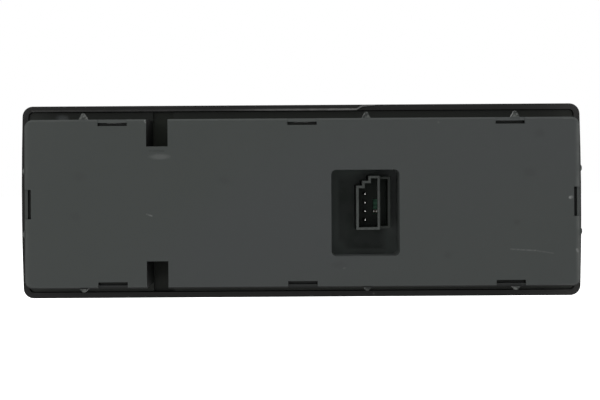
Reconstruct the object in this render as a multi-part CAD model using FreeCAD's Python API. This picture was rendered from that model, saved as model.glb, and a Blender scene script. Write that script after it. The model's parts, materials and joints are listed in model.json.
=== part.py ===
import FreeCAD, Part
import math
import os

# Power window switch, the module that sits in a door panel or a centre console.
# Millimetres. +X runs along the module, +Z is up, and the rear cover faces -Y.
# The origin is the centre of the plane in which the bezel's rim seats on the panel.

Vector = FreeCAD.Vector

# Rear cover, as seen from behind
cover_length = 157.0
cover_height = 47.8
cover_depth = 20.0
cover_corner = 2.4
cover_edge_chamfer = 0.5
cover_wall = 1.6
cover_skin = 2.0

# Front bezel
rim_overhang = 4.6
rim_corner = 3.1
rim_end_bow = 0.45
rim_wall = 1.7
rim_groove = 0.2
bezel_depth = 5.0
bezel_skin = 2.2
bezel_edge_chamfer = 1.2
field_margin = 6.0
field_corner = 4.0
field_sink = 0.6

# Bead along the upper rim's inner edge, which climbs to the outer edge past the middle
bead_width = 0.55
bead_rise = 0.35
bead_inset = 0.05
bead_bend_x = 16.5
bead_climb = 1.8
bead_run = 3.8

# Key carrier
land_sink = 0.6
key_clearance = 0.4
cheek_thickness = 1.4
cheek_half_height = 4.5
cheek_floor = 1.1
light_wall = 1.2
light_wall_half_height = 12.0

# Heat stakes that hold the carrier to the bezel
stake_width = 1.8
stake_clearance = 0.1
stake_head_width = 3.2
stake_head_height = 0.9
stake_head_chamfer = 0.6
stake_inset_z = 3.9
stake_end_inset = 8.5

# Snap arms of the carrier, in slots behind the cover's side walls
snap_places = (-53.6, 0.0, 58.8)
snap_slot_length = 8.3
snap_slot_depth = 1.85
snap_strip = 0.95
snap_backing = 1.4
strip_sink = 0.15
strip_slope = 0.6
arm_gap = 0.1
arm_side_gap = 0.2
arm_sink = 1.2
window_length = 4.6
window_height = 3.4
window_from_back = 3.8
hook_gap = 0.3
hook_rise = 0.85
hook_land = 0.5

# Centring nibs at the rear of the cover's side walls
nib_places = (-61.9, 18.2, 60.3)
nib_base = 2.4
nib_tip = 0.7
top_nib_height = 1.75
bottom_nib_height = 1.0
end_nib_places = (9.4, -8.4)
end_nib_height = 0.6
nib_setback = 0.35
nib_length = 3.0
nib_lead = 0.6

# Clip notches in the cover's upper and lower edge
notch_x = -41.0
notch_width = 6.1
notch_depth = 7.7
notch_floor_sink = 1.2

# Connector pocket in the cover
pocket_x = 17.8
pocket_z = -2.9
pocket_width = 19.3
pocket_height = 24.4
pocket_corner = 1.4
pocket_wall = 1.4
pocket_floor = 1.6
pocket_board_gap = 2.4
header_clearance = 0.15

# Connector header, which stands on the board
header_sink = 4.2
header_left = 15.4
header_bottom = -7.9
header_width = 6.8
header_height = 15.4
header_step_width = 1.75
header_step_height = 1.4
latch_width = 3.0
latch_setback = 0.25
latch_sink = 1.0
header_wall = 0.7
header_floor = 1.4
lock_bar_width = 0.7
lock_bar_depth = 1.6
view_slot_x = 21.5
view_slot_width = 1.5
view_slot_height = 4.3
view_slot_z = -1.6

# Terminal pins
pin_count = 4
pin_pitch = 2.54
pin_size = 0.64
pin_x = 18.2
pin_top_z = 2.25
pin_tip_depth = 9.0
pin_tip_taper = 0.5
pin_tip_share = 0.75
pin_tail = 0.5
pin_clearance = 0.05
pin_hole_radius = 0.55
pin_hole_sides = 8

# Circuit board
board_setback = 3.4
board_thickness = 1.6
board_gap = 0.6
board_corner = 1.0

# Board screws and the bosses that they enter
screw_inset_z = 6.1
boss_width = 4.8
screw_radius = 1.1
screw_bite_gap = 0.05
screw_board_gap = 0.2
screw_head_radius = 2.2
screw_head_height = 1.4
screw_reach = 3.4
screw_tip_gap = 0.4
head_sides = 6
shank_sides = 10
bore_sides = 8

# Keys
key_places = 6
key_bar = 6.5
key_row_margin = 2.0
key_notch_gap = 0.7
lock_key_setback = 2.3
key_rise = 2.3
key_dish = 1.3
dish_margin = 1.4
key_wall = 1.4
key_chamfer = 0.6
key_swing = 7.0
skirt_slope_spare = 1.5
pivot_rise = 0.6
trunnion_radius = 1.5
trunnion_length = 1.3
trunnion_cover = 0.6
bearing_clearance = 0.06
bearing_end_gap = 0.2
leg_width = 2.8
leg_blade = 1.0
leg_inset = 3.6

# Lock-out button
button_height = 15.0
button_dish_margin = 1.5
button_drop = 8.0
button_rise = 1.6
button_dish = 0.5
button_guide_gap = 0.3
button_lip = 0.8
button_lip_thickness = 0.8
button_lip_gap = 0.3

# Silicone key mat and its carbon pills
mat_web = 1.0
mat_end_gap = 1.5
mat_edge = 1.4
mat_corner = 2.0
dome_height = 2.2
dome_base_radius = 3.6
dome_top_radius = 2.3
dome_wall = 0.6
dome_sides = 8
plunger_thickness = 1.7
leg_gap = 0.1
pill_radius = 1.5
pill_thickness = 0.5
pill_sides = 6
lamp_opening = 6.0
pin_relief = 0.6

# Lock-out indicator
guide_radius = 1.6
guide_collar_width = 5.0
guide_collar_thickness = 1.2
guide_drop = 8.0
guide_gap = 0.05
guide_stand = 0.15
guide_lamp_gap = 0.3

# Lamps soldered to the board's front
lamp_width = 3.5
lamp_height = 2.8
lamp_thickness = 1.9
solder_foot = 0.2

# Parts soldered to the board's back, their sizes along X, along Z and out of the board
package_stand = 0.1
lead_reach = 1.0
lead_share = 0.4
controller_size = (7.0, 7.0, 1.4)
controller_lead_count = 5
controller_pitch = 1.2
transceiver_size = (3.9, 4.9, 1.5)
transceiver_lead_count = 4
transceiver_pitch = 1.27
transceiver_drop = 7.0
regulator_size = (6.6, 6.0, 2.3)
regulator_rise = 4.0
regulator_tab = (5.4, 4.0, 0.5)
regulator_lead_spacing = 4.6
regulator_lead_width = 0.8
regulator_lead_reach = 2.4
can_radius = 3.15
can_height = 6.0
can_base_width = 6.6
can_base_height = 1.0
can_drop = 9.0
diode_size = (4.4, 3.6, 2.2)
diode_terminal = (1.2, 2.0, 1.2)
diode_rise = 8.0
capacitor_size = (1.3, 1.0, 0.8)
resistor_size = (1.6, 0.8, 0.45)
chip_edge = 0.05
chip_spacing = 2.0
chip_row_gap = 8.0
lamp_resistor_shift = 4.0
lamp_resistor_z = 12.0
slot_chip_drop = 1.4

# Levels along Y that follow from the sizes above
land_y = land_sink
skin_rear_y = bezel_depth - bezel_skin
field_y = bezel_depth - field_sink
back_y = -cover_depth
board_front_y = -board_setback
board_rear_y = board_front_y - board_thickness
pocket_floor_y = board_rear_y - pocket_board_gap - pocket_floor
header_rim_y = back_y + header_sink
pivot_y = pivot_rise
mat_top_y = board_front_y + mat_web
dome_top_y = mat_top_y + dome_height
leg_end_y = dome_top_y + leg_gap
key_front_y = bezel_depth + key_rise

# Outlines and columns that follow from the sizes above
rim_half_length = cover_length / 2 + rim_overhang
rim_half_height = cover_height / 2 + rim_overhang
land_half_length = rim_half_length - rim_wall - rim_groove
land_half_height = rim_half_height - rim_wall - rim_groove
key_pitch = (cover_length - 2 * key_row_margin) / key_places
key_width = key_pitch - key_bar
key_columns = [(index - (key_places - 1) / 2) * key_pitch for index in range(key_places)]
window_columns = key_columns[:4]
lock_column = key_columns[4]
button_column = key_columns[5]
snap_inner = snap_slot_depth + snap_backing
board_half_length = cover_length / 2 - snap_inner - board_gap
board_half_height = cover_height / 2 - snap_inner - board_gap
screw_row = cover_height / 2 - screw_inset_z
screw_columns = (-2 * key_pitch, 2 * key_pitch)
stake_row = cover_height / 2 - stake_inset_z
stake_end = cover_length / 2 - stake_end_inset
stake_columns = (-stake_end, -key_pitch, key_pitch, stake_end)
notch_bottom = cover_height / 2 - notch_depth
key_reach = notch_bottom - cover_wall - key_notch_gap
lock_key_reach = key_reach - lock_key_setback
dish_half_chord = key_reach - dish_margin
dish_radius = (dish_half_chord ** 2 + key_dish ** 2) / (2 * key_dish)
leg_offset = lock_key_reach - leg_inset
mat_half_height = leg_offset + dome_base_radius + mat_edge
pin_rows = [pin_top_z - index * pin_pitch for index in range(pin_count)]
button_z = -button_drop
guide_z = guide_drop
controller_x = -key_pitch / 2
transceiver_x = lock_column
regulator_x = 2 * key_pitch
can_x = button_column
key_reaches = {column: key_reach for column in window_columns}
key_reaches[lock_column] = lock_key_reach


def block(x0, x1, y0, y1, z0, z1):
    """A box between two opposite corners."""
    return Part.makeBox(x1 - x0, y1 - y0, z1 - z0, Vector(x0, y0, z0))


def rod_x(radius, x0, x1, y, z):
    """A round bar along X."""
    return Part.makeCylinder(radius, x1 - x0, Vector(x0, y, z), Vector(1, 0, 0))


def rod_y(radius, y0, y1, x, z):
    """A round bar along Y."""
    return Part.makeCylinder(radius, y1 - y0, Vector(x, y0, z), Vector(0, 1, 0))


def post_y(half, y0, y1, x, z):
    """A square post along Y."""
    return block(x - half, x + half, y0, y1, z - half, z + half)


def planar_taper(rear, front):
    """A solid with flat faces between two polygons whose sides are parallel."""
    faces = [Part.Face(Part.makePolygon(ring + ring[:1])) for ring in (rear, front)]
    for index in range(len(rear)):
        after = (index + 1) % len(rear)
        corners = [rear[index], rear[after], front[after], front[index]]
        faces.append(Part.Face(Part.makePolygon(corners + corners[:1])))
    return Part.makeSolid(Part.makeShell(faces))


def even_sided(sides, radius0, radius1, y0, y1, x, z):
    """A taper along Y with equal flat sides, reaching radius0 at y0 and radius1 at y1."""
    rings = []
    for radius, y in ((radius0, y0), (radius1, y1)):
        turns = [math.pi * (2 * index + 1) / sides for index in range(sides)]
        rings.append([Vector(x + radius * math.cos(turn), y, z + radius * math.sin(turn)) for turn in turns])
    return planar_taper(rings[0], rings[1])


def plate_from(points, y0, y1):
    """A plate between y0 and y1 whose outline is a polygon of (x, z) points."""
    corners = [Vector(x, y0, z) for x, z in points]
    face = Part.Face(Part.makePolygon(corners + corners[:1]))
    return face.extrude(Vector(0, y1 - y0, 0))


def bar_from(points, x0, x1):
    """A bar between x0 and x1 whose section is a polygon of (y, z) points."""
    corners = [Vector(x0, y, z) for y, z in points]
    face = Part.Face(Part.makePolygon(corners + corners[:1]))
    return face.extrude(Vector(x1 - x0, 0, 0))


def rounded_plate(half_length, half_height, corner, y0, y1, x=0.0, z=0.0):
    """A rectangular plate with round corners, between y0 and y1."""
    shift = corner * (1 - math.sqrt(0.5))
    edges = []
    places = ((1, 1), (-1, 1), (-1, -1), (1, -1))
    starts = []
    ends = []
    middles = []
    for sx, sz in places:
        along = Vector(x + sx * (half_length - corner), y0, z + sz * half_height)
        upright = Vector(x + sx * half_length, y0, z + sz * (half_height - corner))
        middle = Vector(x + sx * (half_length - shift), y0, z + sz * (half_height - shift))
        middles.append(middle)
        turn_in = sx * sz > 0
        starts.append(upright if turn_in else along)
        ends.append(along if turn_in else upright)
    for index in range(4):
        edges.append(Part.Arc(starts[index], middles[index], ends[index]).toShape())
        edges.append(Part.makeLine(ends[index], starts[(index + 1) % 4]))
    face = Part.Face(Part.Wire(edges))
    return face.extrude(Vector(0, y1 - y0, 0))


def bowed_plate(half_length, half_height, corner, bow, y0, y1):
    """A plate with straight long edges and gently bowed ends, its corner arcs tangent to both."""
    end_radius = (half_height ** 2 + bow ** 2) / (2 * bow)
    end_centre = half_length - end_radius
    reach = end_radius - corner
    corner_x = end_centre + math.sqrt(reach ** 2 - (half_height - corner) ** 2)
    corner_z = half_height - corner
    touch_x = end_centre + end_radius * (corner_x - end_centre) / reach
    touch_z = end_radius * corner_z / reach
    slope = math.atan2(corner_z, corner_x - end_centre)
    half_turn = (slope + math.pi / 2) / 2
    mid_x = corner_x + corner * math.cos(half_turn)
    mid_z = corner_z + corner * math.sin(half_turn)

    def corner_arc(sx, sz):
        touch = Vector(sx * touch_x, y0, sz * touch_z)
        middle = Vector(sx * mid_x, y0, sz * mid_z)
        flat = Vector(sx * corner_x, y0, sz * half_height)
        return Part.Arc(touch, middle, flat).toShape()

    def end_arc(sx):
        low = Vector(sx * touch_x, y0, -touch_z)
        middle = Vector(sx * half_length, y0, 0)
        high = Vector(sx * touch_x, y0, touch_z)
        return Part.Arc(low, middle, high).toShape()

    edges = [corner_arc(sx, sz) for sx in (-1, 1) for sz in (-1, 1)]
    edges += [end_arc(-1), end_arc(1)]
    for sz in (-1, 1):
        left = Vector(-corner_x, y0, sz * half_height)
        right = Vector(corner_x, y0, sz * half_height)
        edges.append(Part.makeLine(left, right))
    wire = Part.Wire(Part.__sortEdges__(edges))
    return Part.Face(wire).extrude(Vector(0, y1 - y0, 0))


def upright_bar(points, z, height):
    """A bar along Z, centred at z, whose section is a polygon of (x, y) points."""
    corners = [Vector(x, y, z - height / 2) for x, y in points]
    face = Part.Face(Part.makePolygon(corners + corners[:1]))
    return face.extrude(Vector(0, 0, height))


def edges_at_level(shape, y):
    """The edges of a shape that lie flat in the plane at y."""
    chosen = []
    for edge in shape.Edges:
        box = edge.BoundBox
        if abs(box.YMin - y) < 1e-6 and abs(box.YMax - y) < 1e-6:
            chosen.append(edge)
    return chosen


def on_wall(shape, side, along):
    """Moves a feature from a wall at z=0 facing +Z to one of the cover's four side walls."""
    placed = shape.copy()
    turns = {"top": 0, "right": 90, "bottom": 180, "left": 270}
    placed.rotate(Vector(0, 0, 0), Vector(0, 1, 0), turns[side])
    half_length = cover_length / 2
    half_height = cover_height / 2
    places = {
        "top": Vector(along, 0, half_height),
        "bottom": Vector(along, 0, -half_height),
        "right": Vector(half_length, 0, along),
        "left": Vector(-half_length, 0, along),
    }
    placed.translate(places[side])
    return placed


def snap_positions():
    """The side wall and the place along it of each of the eight snaps."""
    places = [(side, along) for side in ("top", "bottom") for along in snap_places]
    return places + [("left", 0.0), ("right", 0.0)]


def nib_positions():
    """The side wall, the place along it and the height of each centring nib."""
    places = [("top", along, top_nib_height) for along in nib_places]
    places += [("bottom", along, bottom_nib_height) for along in nib_places]
    for side in ("left", "right"):
        places += [(side, along, end_nib_height) for along in end_nib_places]
    return places


def key_hole(column, reach, gap, y0, y1):
    """The space that a rocking key sweeps, widened by a gap, between two levels."""
    half_width = key_width / 2 + gap
    sweep = rod_x(reach + gap, column - half_width, column + half_width, pivot_y, 0)
    slab = block(column - half_width, column + half_width, y0, y1, -2 * reach, 2 * reach)
    return sweep.common(slab)


def button_hole(gap, y0, y1):
    """The straight hole for the lock-out button, widened by a gap."""
    across = key_width / 2 + gap
    up = button_height / 2 + gap
    return block(button_column - across, button_column + across, y0, y1, button_z - up, button_z + up)


def front_bezel():
    """The front panel: rim, sunk field, key openings and the stakes that hold the carrier."""
    shell = bowed_plate(rim_half_length, rim_half_height, rim_corner, rim_end_bow, 0, bezel_depth)
    shell = shell.makeChamfer(bezel_edge_chamfer, edges_at_level(shell, bezel_depth))
    inner_corner = rim_corner - rim_wall
    hollow = bowed_plate(
        rim_half_length - rim_wall, rim_half_height - rim_wall, inner_corner, rim_end_bow, -1, skin_rear_y
    )
    shell = shell.cut(hollow)
    field_half_length = rim_half_length - field_margin
    field_half_height = rim_half_height - field_margin
    field = rounded_plate(field_half_length, field_half_height, field_corner, field_y, bezel_depth + 1)
    shell = shell.cut(field)
    for column, reach in key_reaches.items():
        shell = shell.cut(key_hole(column, reach, key_clearance, skin_rear_y - 1, bezel_depth + 1))
    shell = shell.cut(button_hole(key_clearance, skin_rear_y - 1, bezel_depth + 1))
    shell = shell.cut(
        rod_y(guide_radius + guide_gap, skin_rear_y - 1, bezel_depth + 1, button_column, guide_z)
    )
    for x in stake_columns:
        for z in (-stake_row, stake_row):
            shell = shell.fuse(stake(x, z))
    return shell.fuse(rim_bead()).removeSplitter()


def stake(x, z):
    """A heat stake: a square post through the carrier, ending in a flattened head."""
    head_y = land_y - stake_head_height
    post = post_y(stake_width / 2, head_y + stake_head_chamfer, skin_rear_y, x, z)
    head = post_y(stake_head_width / 2, head_y, land_y, x, z)
    head = head.makeChamfer(stake_head_chamfer, edges_at_level(head, head_y))
    return post.fuse(head)


def rim_bead():
    """The bead on the upper rim's inner edge, which climbs to the outer edge and ends there."""
    low = rim_half_height - rim_wall + bead_inset
    high = low + bead_width
    crest = rim_half_height - bead_inset
    start = -(rim_half_length - rim_corner)
    climbed = bead_bend_x + bead_climb
    end = climbed + bead_run
    outline = [
        (start, low),
        (bead_bend_x, low),
        (climbed, crest - bead_width),
        (end, crest - bead_width / 2),
        (end, crest),
        (climbed, crest),
        (bead_bend_x, high),
        (start, high),
    ]
    return plate_from(outline, -bead_rise, bezel_depth / 2)


def snap_slot():
    """The slot that one snap arm enters, behind a strip of the side wall."""
    half = snap_slot_length / 2
    return block(-half, half, back_y - 1, land_y + 1, -snap_slot_depth, -snap_strip)


def snap_strip_end():
    """What is cut off the strip's rear end, which slopes forward to the outside."""
    half = snap_slot_length / 2
    behind_y = back_y - 1
    inner_y = back_y + strip_sink
    outer_y = inner_y + strip_slope * (snap_strip + 1)
    section = [(behind_y, -snap_strip), (inner_y, -snap_strip), (outer_y, 1), (behind_y, 1)]
    return bar_from(section, -half, half)


def snap_window():
    """The window in the strip, which the arm's hook enters."""
    half = window_length / 2
    window_y = back_y + window_from_back
    middle = (snap_strip + snap_slot_depth) / 2
    return block(-half, half, window_y, window_y + window_height, -middle, 1)


def snap_backing_wall():
    """The wall that closes the cover behind one snap's slot."""
    half = snap_slot_length / 2 + snap_backing
    return block(-half, half, back_y + cover_skin / 2, land_y, -snap_inner, -cover_wall / 2)


def snap_arm():
    """One snap arm of the carrier, with a ramped hook that stands in the strip's window."""
    half = snap_slot_length / 2 - arm_side_gap
    outside = -snap_strip - arm_gap
    inside = -snap_slot_depth + arm_gap
    end_y = back_y + arm_sink
    arm = block(-half, half, end_y, land_y, inside, outside)
    hook_y = back_y + window_from_back + hook_gap
    catch_y = back_y + window_from_back + window_height - hook_gap
    hook = [
        (hook_y, inside),
        (hook_y, outside),
        (catch_y - hook_land, outside + hook_rise),
        (catch_y, outside + hook_rise),
        (catch_y, inside),
    ]
    return arm.fuse(bar_from(hook, -window_length / 2 + hook_gap, window_length / 2 - hook_gap))


def centring_nib(height):
    """A small nib on a side wall, tapered to its tip and sloped at both ends."""
    root = cover_wall / 2
    half = nib_base / 2
    tip = nib_tip / 2
    outline = [(-half, -root), (-half, 0), (-tip, height), (tip, height), (half, 0), (half, -root)]
    rear_y = back_y + nib_setback
    front_y = rear_y + nib_length
    nib = plate_from(outline, rear_y, front_y)
    side_view = [
        (rear_y, -root),
        (rear_y, height / 2),
        (rear_y + nib_lead, height),
        (front_y - height, height),
        (front_y, 0),
        (front_y, -root),
    ]
    return nib.common(bar_from(side_view, -half, half))


def notch(side, grow, y0, y1):
    """A clip notch in the upper or lower edge, grown by a wall on three sides."""
    half = notch_width / 2 + grow
    spare = rim_overhang
    space = block(notch_x - half, notch_x + half, y0, y1, notch_bottom - grow, cover_height / 2 + spare)
    if side == "bottom":
        return space.mirror(Vector(0, 0, 0), Vector(0, 0, 1))
    return space


def latch_box(grow, y0, y1):
    """The latch chamber beside the header's mouth, grown or shrunk."""
    right = header_left + header_width
    low = header_bottom + latch_setback
    high = header_bottom + header_height - latch_setback
    return block(right - grow, right + latch_width + grow, y0, y1, low - grow, high + grow)


def header_outline(grow, y0, y1):
    """The connector header's stepped outline, grown or shrunk, as a plate."""
    right = header_left + header_width
    top = header_bottom + header_height
    step_x = header_step_width
    step_z = header_step_height
    points = [
        (header_left, header_bottom),
        (right, header_bottom),
        (right, header_bottom + latch_setback),
        (right + latch_width, header_bottom + latch_setback),
        (right + latch_width, top - latch_setback),
        (right, top - latch_setback),
        (right, top),
        (header_left + 2 * step_x, top),
        (header_left + 2 * step_x, top - step_z),
        (header_left + step_x, top - step_z),
        (header_left + step_x, top - 2 * step_z),
        (header_left, top - 2 * step_z),
    ]
    corners = [Vector(x, y0, z) for x, z in points]
    face = Part.Face(Part.makePolygon(corners + corners[:1]))
    if grow:
        face = Part.Face(face.makeOffset2D(grow, 2).Wires[0])
    return face.extrude(Vector(0, y1 - y0, 0))


def pocket_space(grow, y0, y1):
    """The connector pocket, grown by a wall."""
    return rounded_plate(
        pocket_width / 2 + grow, pocket_height / 2 + grow, pocket_corner + grow, y0, y1, pocket_x, pocket_z
    )


def rear_cover():
    """The moulded cover: shell, connector pocket, clip notches, snap slots and nibs."""
    half_length = cover_length / 2
    half_height = cover_height / 2
    shell = rounded_plate(half_length, half_height, cover_corner, back_y, land_y)
    shell = shell.makeChamfer(cover_edge_chamfer, edges_at_level(shell, back_y))
    inner_corner = cover_corner - cover_wall
    hollow = rounded_plate(
        half_length - cover_wall, half_height - cover_wall, inner_corner, back_y + cover_skin, land_y + 1
    )
    shell = shell.cut(hollow)
    inside = rounded_plate(half_length, half_height, cover_corner, back_y + cover_skin / 2, land_y)
    shell = shell.fuse(pocket_space(pocket_wall, back_y + cover_skin / 2, pocket_floor_y + pocket_floor))
    for side in ("top", "bottom"):
        wall = notch(side, cover_wall, back_y + cover_skin / 2, land_y).common(inside)
        shell = shell.fuse(wall)
    for side, along in snap_positions():
        shell = shell.fuse(on_wall(snap_backing_wall(), side, along))
    for side, along in snap_positions():
        for space in (snap_slot(), snap_strip_end(), snap_window()):
            shell = shell.cut(on_wall(space, side, along))
    for side, along, height in nib_positions():
        shell = shell.fuse(on_wall(centring_nib(height), side, along))
    for side in ("top", "bottom"):
        shell = shell.cut(notch(side, 0, back_y - 1, land_y + 1))
    shell = shell.cut(pocket_space(0, back_y - 1, pocket_floor_y))
    shell = shell.cut(header_outline(header_clearance, pocket_floor_y - 1, board_rear_y))
    return shell.removeSplitter()


def key_carrier():
    """The inner frame: flange, key bearings, light walls, screw bosses and snap arms."""
    land_corner = rim_corner - rim_wall - rim_groove
    frame = bowed_plate(land_half_length, land_half_height, land_corner, rim_end_bow, land_y, skin_rear_y)
    bearing_radius = trunnion_radius + bearing_clearance
    cheek_rear_y = pivot_y - bearing_radius - cheek_floor
    for column in key_reaches:
        for side in (-1, 1):
            inner = key_width / 2 + key_clearance
            x0, x1 = sorted((column + side * inner, column + side * (inner + cheek_thickness)))
            cheek = block(x0, x1, cheek_rear_y, skin_rear_y, -cheek_half_height, cheek_half_height)
            frame = frame.fuse(cheek)
    for column in key_columns[:-1]:
        middle = column + key_pitch / 2
        wall = block(
            middle - light_wall / 2,
            middle + light_wall / 2,
            mat_top_y + key_clearance,
            land_y,
            -light_wall_half_height,
            light_wall_half_height,
        )
        frame = frame.fuse(wall)
    for x in screw_columns:
        for z in (-screw_row, screw_row):
            frame = frame.fuse(post_y(boss_width / 2, board_front_y, land_y, x, z))
    for side, along in snap_positions():
        frame = frame.fuse(on_wall(snap_arm(), side, along))
    for column, reach in key_reaches.items():
        frame = frame.cut(key_hole(column, reach, key_clearance, cheek_rear_y - 1, skin_rear_y + 1))
        half = key_width / 2 + trunnion_length + bearing_end_gap
        frame = frame.cut(rod_x(bearing_radius, column - half, column + half, pivot_y, 0))
    frame = frame.cut(button_hole(button_guide_gap, land_y - 1, skin_rear_y + 1))
    collar_half = guide_collar_width / 2 + button_guide_gap
    frame = frame.cut(post_y(collar_half, land_y - 1, skin_rear_y + 1, button_column, guide_z))
    for x in screw_columns:
        for z in (-screw_row, screw_row):
            bite = (screw_radius + screw_bite_gap) / math.cos(math.pi / bore_sides)
            end_y = board_front_y + screw_reach + screw_tip_gap
            frame = frame.cut(even_sided(bore_sides, bite, bite, board_front_y - 1, end_y, x, z))
    for x in stake_columns:
        for z in (-stake_row, stake_row):
            half = stake_width / 2 + stake_clearance
            frame = frame.cut(post_y(half, land_y - 1, skin_rear_y + 1, x, z))
    for side in ("top", "bottom"):
        frame = frame.cut(notch(side, 0, land_y - 1, land_y + notch_floor_sink))
    return frame.removeSplitter()


def dish_level(z):
    """How far forward a key's dished front stands at a height along it."""
    return key_front_y - key_dish + dish_radius - math.sqrt(dish_radius ** 2 - z ** 2)


def key_body(column, reach):
    """A rocking key's outer form: arc ends about the hinge, a slanted skirt and a dished front."""
    x0 = column - key_width / 2
    x1 = column + key_width / 2
    rear_y = pivot_y - trunnion_radius - trunnion_cover
    far = 2 * reach
    far_y = rear_y + far * math.tan(math.radians(key_swing + skirt_slope_spare))
    ahead_y = key_front_y + far
    section = [(rear_y, 0.0), (far_y, far), (ahead_y, far), (ahead_y, -far), (far_y, -far)]
    body = rod_x(reach, x0, x1, pivot_y, 0).common(bar_from(section, x0, x1))
    centre_y = key_front_y - key_dish + dish_radius
    return body.cut(rod_x(dish_radius, x0 - 1, x1 + 1, centre_y, 0))


def key_hollow(column, reach):
    """The space inside a rocking key, open to the rear, with a ceiling that follows the dish."""
    half_width = key_width / 2 - key_wall
    inner = reach - key_wall
    shoulder = inner - key_wall
    rear_y = pivot_y - reach
    half_section = [
        (rear_y, inner),
        (pivot_y, inner),
        (dish_level(shoulder) - key_wall, shoulder),
        (dish_level(0) - key_wall, shoulder / 2),
    ]
    section = half_section + [(y, -z) for y, z in reversed(half_section)]
    return bar_from(section, column - half_width, column + half_width)


def front_edges(shape):
    """The edges of a key's front face."""
    return [edge for edge in shape.Edges if edge.BoundBox.YMin > bezel_depth]


def leg(column, z, front_y):
    """A leg with a cross-shaped section, from a key's inside to its dome."""
    long = leg_width / 2
    short = leg_blade / 2
    blade = block(column - long, column + long, leg_end_y, front_y, z - short, z + short)
    return blade.fuse(block(column - short, column + short, leg_end_y, front_y, z - long, z + long))


def rocker(column, reach):
    """A rocking key: a shell with two trunnions and two legs."""
    body = key_body(column, reach)
    body = body.makeChamfer(key_chamfer, front_edges(body))
    body = body.cut(key_hollow(column, reach))
    half = key_width / 2
    inner = half - key_wall / 2
    for side in (-1, 1):
        x0, x1 = sorted((column + side * inner, column + side * (half + trunnion_length)))
        body = body.fuse(rod_x(trunnion_radius, x0, x1, pivot_y, 0))
        z = side * leg_offset
        cap_y = dish_level(leg_offset) - key_wall / 2
        body = body.fuse(leg(column, z, cap_y))
    return body.removeSplitter()


def lockout_button():
    """The push button: a dished cap with a skirt, a retaining lip and a leg."""
    front_y = bezel_depth + button_rise
    lip_front_y = land_y - button_lip_gap
    lip_rear_y = lip_front_y - button_lip_thickness
    cap = button_hole(0, lip_rear_y, front_y)
    cap = cap.makeChamfer(key_chamfer, edges_at_level(cap, front_y))
    half_chord = button_height / 2 - button_dish_margin
    radius = (half_chord ** 2 + button_dish ** 2) / (2 * button_dish)
    half = key_width / 2 - button_dish_margin
    dish = rod_x(
        radius, button_column - half, button_column + half, front_y - button_dish + radius, button_z
    )
    cap = cap.cut(dish)
    cap = cap.fuse(button_hole(button_lip, lip_rear_y, lip_front_y))
    ceiling_y = front_y - button_dish - key_wall
    cap = cap.cut(button_hole(-key_wall, lip_rear_y - 1, ceiling_y))
    return cap.fuse(leg(button_column, button_z, ceiling_y + key_wall / 2)).removeSplitter()


def dome_places():
    """Where the mat has a dome: under each rocker's two legs and under the button's leg."""
    places = [(column, side * leg_offset) for column in key_reaches for side in (-1, 1)]
    places.append((button_column, button_z))
    return places


def lamp_places():
    """Where the board has a lamp: behind each rocker and behind the indicator."""
    places = [(column, 0.0) for column in key_reaches]
    places.append((button_column, guide_z))
    return places


def key_mat():
    """The silicone mat: a web on the board with a hollow dome under each leg."""
    half_length = board_half_length - mat_end_gap
    mat = rounded_plate(half_length, mat_half_height, mat_corner, board_front_y, mat_top_y)
    for x, z in dome_places():
        dome = even_sided(dome_sides, dome_base_radius, dome_top_radius, mat_top_y, dome_top_y, x, z)
        mat = mat.fuse(dome)
    for x, z in lamp_places():
        mat = mat.cut(post_y(lamp_opening / 2, board_front_y - 1, dome_top_y + 1, x, z))
    under_y = dome_top_y - plunger_thickness
    base = dome_base_radius - dome_wall
    top = dome_top_radius - dome_wall / 2
    for x, z in dome_places():
        mat = mat.cut(even_sided(dome_sides, base, top, board_front_y, under_y, x, z))
    half = pin_size / 2 + pin_relief
    low = pin_rows[-1] - half
    high = pin_rows[0] + half
    relief = block(pin_x - half, pin_x + half, board_front_y - 1, mat_top_y + 1, low, high)
    return mat.cut(relief).removeSplitter()


def contact_pills():
    """The carbon pills, bonded under the domes."""
    under_y = dome_top_y - plunger_thickness
    pill_y = under_y - pill_thickness
    pills = []
    for x, z in dome_places():
        pills.append(even_sided(pill_sides, pill_radius, pill_radius, pill_y, under_y, x, z))
    return Part.makeCompound(pills)


def circuit_board():
    """The board: notched round the cover's inner walls, drilled for screws and pins."""
    straight_x = board_half_length - board_corner
    straight_z = board_half_height - board_corner
    outline = []
    for sx, sz in ((1, 1), (-1, 1), (-1, -1), (1, -1)):
        along = (sx * straight_x, sz * board_half_height)
        upright = (sx * board_half_length, sz * straight_z)
        outline += [upright, along] if sx * sz > 0 else [along, upright]
    board = plate_from(outline, board_rear_y, board_front_y)
    for side in ("top", "bottom"):
        board = board.cut(notch(side, cover_wall + board_gap, board_rear_y - 1, board_front_y + 1))
    for x in screw_columns:
        for z in (-screw_row, screw_row):
            hole = rod_y(screw_radius + screw_board_gap, board_rear_y - 1, board_front_y + 1, x, z)
            board = board.cut(hole)
    size = pin_hole_radius
    for z in pin_rows:
        hole = even_sided(pin_hole_sides, size, size, board_rear_y - 1, board_front_y + 1, pin_x, z)
        board = board.cut(hole)
    return board


def board_screws():
    """Four self-tapping screws with six-sided heads, from the board's back into the bosses."""
    screws = []
    head_y = board_rear_y - screw_head_height
    for x in screw_columns:
        for z in (-screw_row, screw_row):
            head = even_sided(head_sides, screw_head_radius, screw_head_radius, head_y, board_rear_y, x, z)
            tip_y = board_front_y + screw_reach
            shank = even_sided(shank_sides, screw_radius, screw_radius, board_rear_y, tip_y, x, z)
            screws.append(shank.fuse(head))
    return Part.makeCompound(screws)


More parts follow.
